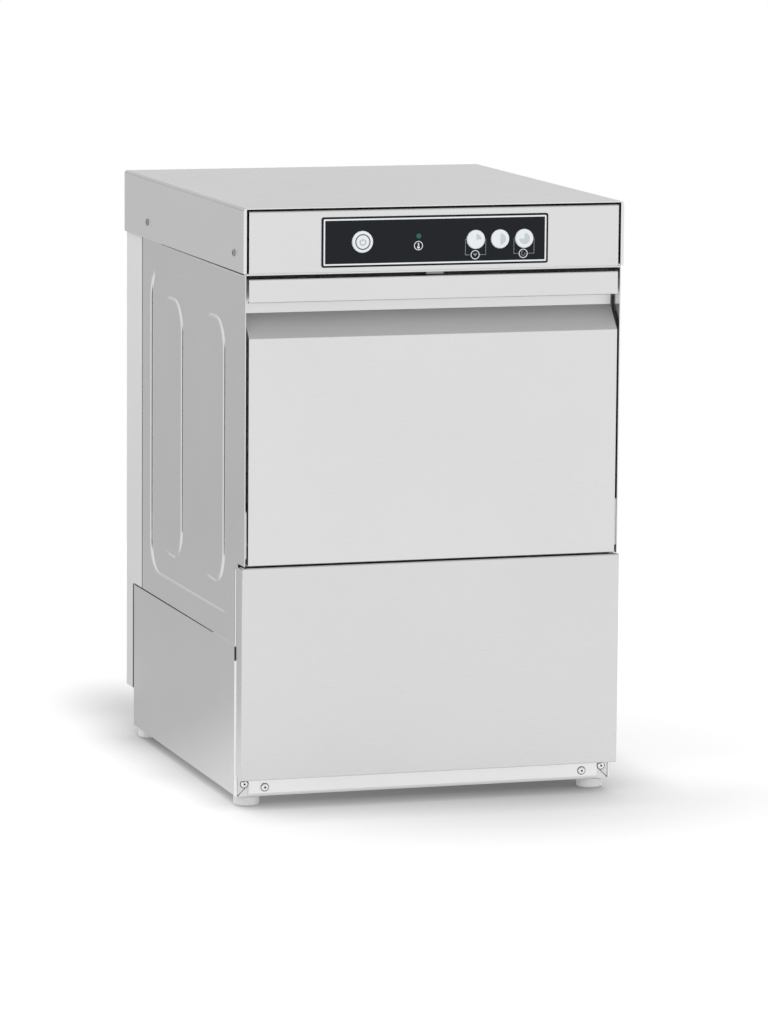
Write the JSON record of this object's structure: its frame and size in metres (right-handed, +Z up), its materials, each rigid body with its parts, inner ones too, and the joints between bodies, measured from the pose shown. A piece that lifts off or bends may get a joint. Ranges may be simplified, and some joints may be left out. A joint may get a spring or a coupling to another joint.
{
  "type": "commercial dishwasher",
  "caption": "Undercounter commercial dishwasher in stainless sheet with a drop-down door, push-button controls, spinning wash and rinse arms and levelling feet.",
  "frame": {"origin": "middle of the box's underside, on the floor", "axes": "+X to the right of someone facing the door, +Y from the door to the back, +Z up"},
  "size_m": [0.4436, 0.5248, 0.67],
  "materials": {
    "stainless_sheet": "satin brushed stainless sheet",
    "stainless_part": "satin stainless steel",
    "fascia_black": "printed film, satin black",
    "button_white": "moulded, smooth",
    "lamp_green": "translucent lens",
    "foot_white": "moulded nylon",
    "rubber_black": "moulded rubber",
    "plastic_black": "moulded, matt",
    "plastic_grey": "moulded, matt",
    "plastic_white": "moulded, matt",
    "copper_pipe": "drawn copper",
    "motor_paint": "grey enamel",
    "board_green": "lacquered board"
  },
  "bodies": {
    "cabinet": {"base_frame": "stainless_sheet", "base_panel_left": "stainless_sheet", "base_panel_right": "stainless_sheet", "left_wall": "stainless_sheet", "right_wall": "stainless_sheet", "rear_wall": "stainless_sheet", "ceiling": "stainless_sheet", "door_frame": "stainless_sheet", "rear_cover": "stainless_sheet", "top_cover": "stainless_sheet", "control_panel": "stainless_sheet", "service_panel": "stainless_sheet", "tank": "stainless_sheet", "hinge_brackets": "stainless_part", "rack_rails": "stainless_part", "tank_filter": "stainless_part", "pump_strainer": "stainless_part", "arm_pillar": "stainless_part", "upper_manifold": "stainless_part", "cover_screws": "stainless_part", "base_screws": "stainless_part", "boiler": "stainless_part", "control_fascia": "fascia_black", "indicator_lamp": "lamp_green", "door_gasket": "rubber_black", "suction_hose": "rubber_black", "lower_arm_nut": "plastic_black", "upper_arm_nut": "plastic_black", "cable_gland": "plastic_black", "terminal_block": "plastic_black", "push_switches": "plastic_grey", "door_catch": "plastic_grey", "delivery_pipe": "plastic_grey", "drain_pipe": "plastic_grey", "pump_casing": "plastic_grey", "inlet_valve": "plastic_white", "rinse_aid_doser": "plastic_white", "rinse_pipes": "copper_pipe", "tank_heater": "copper_pipe", "pump_motor": "motor_paint", "control_board": "board_green"},
    "door": {"door_skin": "stainless_sheet", "door_liner": "stainless_sheet", "hinge_bushes": "plastic_black", "door_strike": "stainless_part"},
    "power_button": {"power_button": "button_white"},
    "cycle_button_short": {"cycle_button_short": "button_white"},
    "cycle_button_medium": {"cycle_button_medium": "button_white"},
    "cycle_button_long": {"cycle_button_long": "button_white"},
    "lower_wash_arm": {"lower_wash_arm": "stainless_part"},
    "lower_rinse_arm": {"lower_rinse_arm": "stainless_part"},
    "upper_wash_arm": {"upper_wash_arm": "stainless_part"},
    "upper_rinse_arm": {"upper_rinse_arm": "stainless_part"},
    "overflow_pipe": {"overflow_pipe": "plastic_grey"},
    "pump_rotor": {"pump_rotor": "plastic_white"},
    "foot_front_left": {"foot_front_left": "foot_white"},
    "foot_front_right": {"foot_front_right": "foot_white"},
    "foot_rear_left": {"foot_rear_left": "foot_white"},
    "foot_rear_right": {"foot_rear_right": "foot_white"}
  },
  "joints": [
    {"name": "door_hinge", "type": "hinge", "parent": "cabinet", "child": "door", "pos_m": [0, -0.2519, 0.2988], "axis": [1, 0, 0], "range_deg": [0, 90]},
    {"name": "power_button_press", "type": "slide", "parent": "cabinet", "child": "power_button", "axis": [0, 1, 0], "range_m": [0, 0.002], "stiffness_N_per_m": 400, "springref_m": -0.003},
    {"name": "cycle_button_short_press", "type": "slide", "parent": "cabinet", "child": "cycle_button_short", "axis": [0, 1, 0], "range_m": [0, 0.002], "stiffness_N_per_m": 400, "springref_m": -0.003},
    {"name": "cycle_button_medium_press", "type": "slide", "parent": "cabinet", "child": "cycle_button_medium", "axis": [0, 1, 0], "range_m": [0, 0.002], "stiffness_N_per_m": 400, "springref_m": -0.003},
    {"name": "cycle_button_long_press", "type": "slide", "parent": "cabinet", "child": "cycle_button_long", "axis": [0, 1, 0], "range_m": [0, 0.002], "stiffness_N_per_m": 400, "springref_m": -0.003},
    {"name": "lower_wash_arm_spin", "type": "hinge", "parent": "cabinet", "child": "lower_wash_arm", "pos_m": [0, -0.0199, 0.287], "axis": [0, 0, 1], "continuous": true},
    {"name": "lower_rinse_arm_spin", "type": "hinge", "parent": "cabinet", "child": "lower_rinse_arm", "pos_m": [0, -0.0199, 0.287], "axis": [0, 0, 1], "continuous": true},
    {"name": "upper_wash_arm_spin", "type": "hinge", "parent": "cabinet", "child": "upper_wash_arm", "pos_m": [0, -0.0199, 0.543], "axis": [0, 0, 1], "continuous": true},
    {"name": "upper_rinse_arm_spin", "type": "hinge", "parent": "cabinet", "child": "upper_rinse_arm", "pos_m": [0, -0.0199, 0.543], "axis": [0, 0, 1], "continuous": true},
    {"name": "overflow_lift", "type": "slide", "parent": "cabinet", "child": "overflow_pipe", "axis": [0, 0, 1], "range_m": [0, 0.1]},
    {"name": "pump_spin", "type": "hinge", "parent": "cabinet", "child": "pump_rotor", "pos_m": [0.07, 0.0641, 0.08], "axis": [1, 0, 0], "continuous": true},
    {"name": "foot_front_left_level", "type": "slide", "parent": "cabinet", "child": "foot_front_left", "axis": [0, 0, -1], "range_m": [0, 0.012]},
    {"name": "foot_front_right_level", "type": "slide", "parent": "cabinet", "child": "foot_front_right", "axis": [0, 0, -1], "range_m": [0, 0.012]},
    {"name": "foot_rear_left_level", "type": "slide", "parent": "cabinet", "child": "foot_rear_left", "axis": [0, 0, -1], "range_m": [0, 0.012]},
    {"name": "foot_rear_right_level", "type": "slide", "parent": "cabinet", "child": "foot_rear_right", "axis": [0, 0, -1], "range_m": [0, 0.012]}
  ]
}
